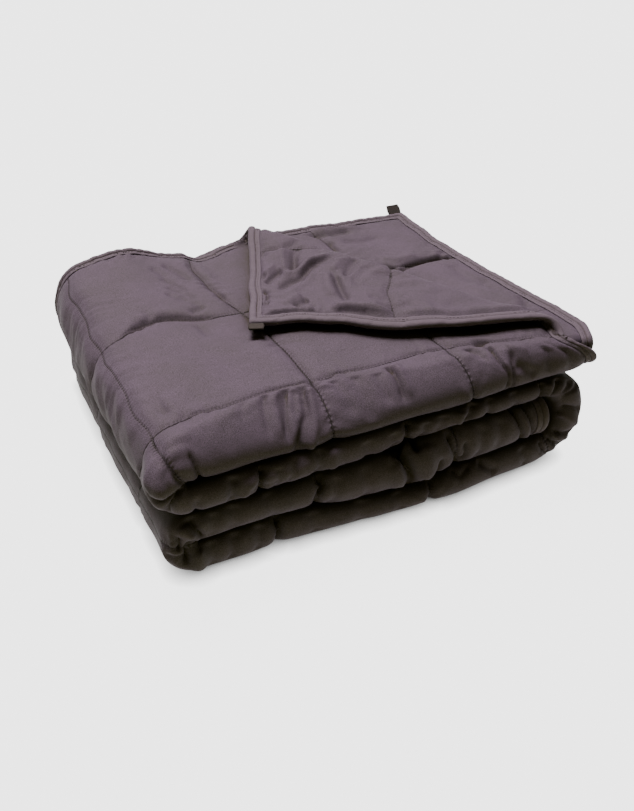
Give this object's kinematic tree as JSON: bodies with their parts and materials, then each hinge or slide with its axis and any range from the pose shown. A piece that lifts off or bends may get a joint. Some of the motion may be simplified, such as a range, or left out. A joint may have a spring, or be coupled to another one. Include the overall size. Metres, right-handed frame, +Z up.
{
  "type": "weighted blanket",
  "caption": "Quilted weighted blanket, bound at its edges, folded into a stack with one corner turned back.",
  "frame": {"origin": "centre of the bounding box's bottom face", "axes": "+X along the folded stack's front edge, +Y from its front folds to its back edges, +Z up"},
  "size_m": [0.4758, 0.3948, 0.1684],
  "materials": {
    "quilted_cotton": "soft matt woven cotton, mauve charcoal",
    "binding_tape": "matt woven cotton tape",
    "tab_tape": "matt dark woven tape"
  },
  "bodies": {
    "root": {"blanket": "quilted_cotton", "binding": "binding_tape", "corner_tab_flap": "tab_tape", "corner_tab_back": "tab_tape"}
  },
  "joints": []
}
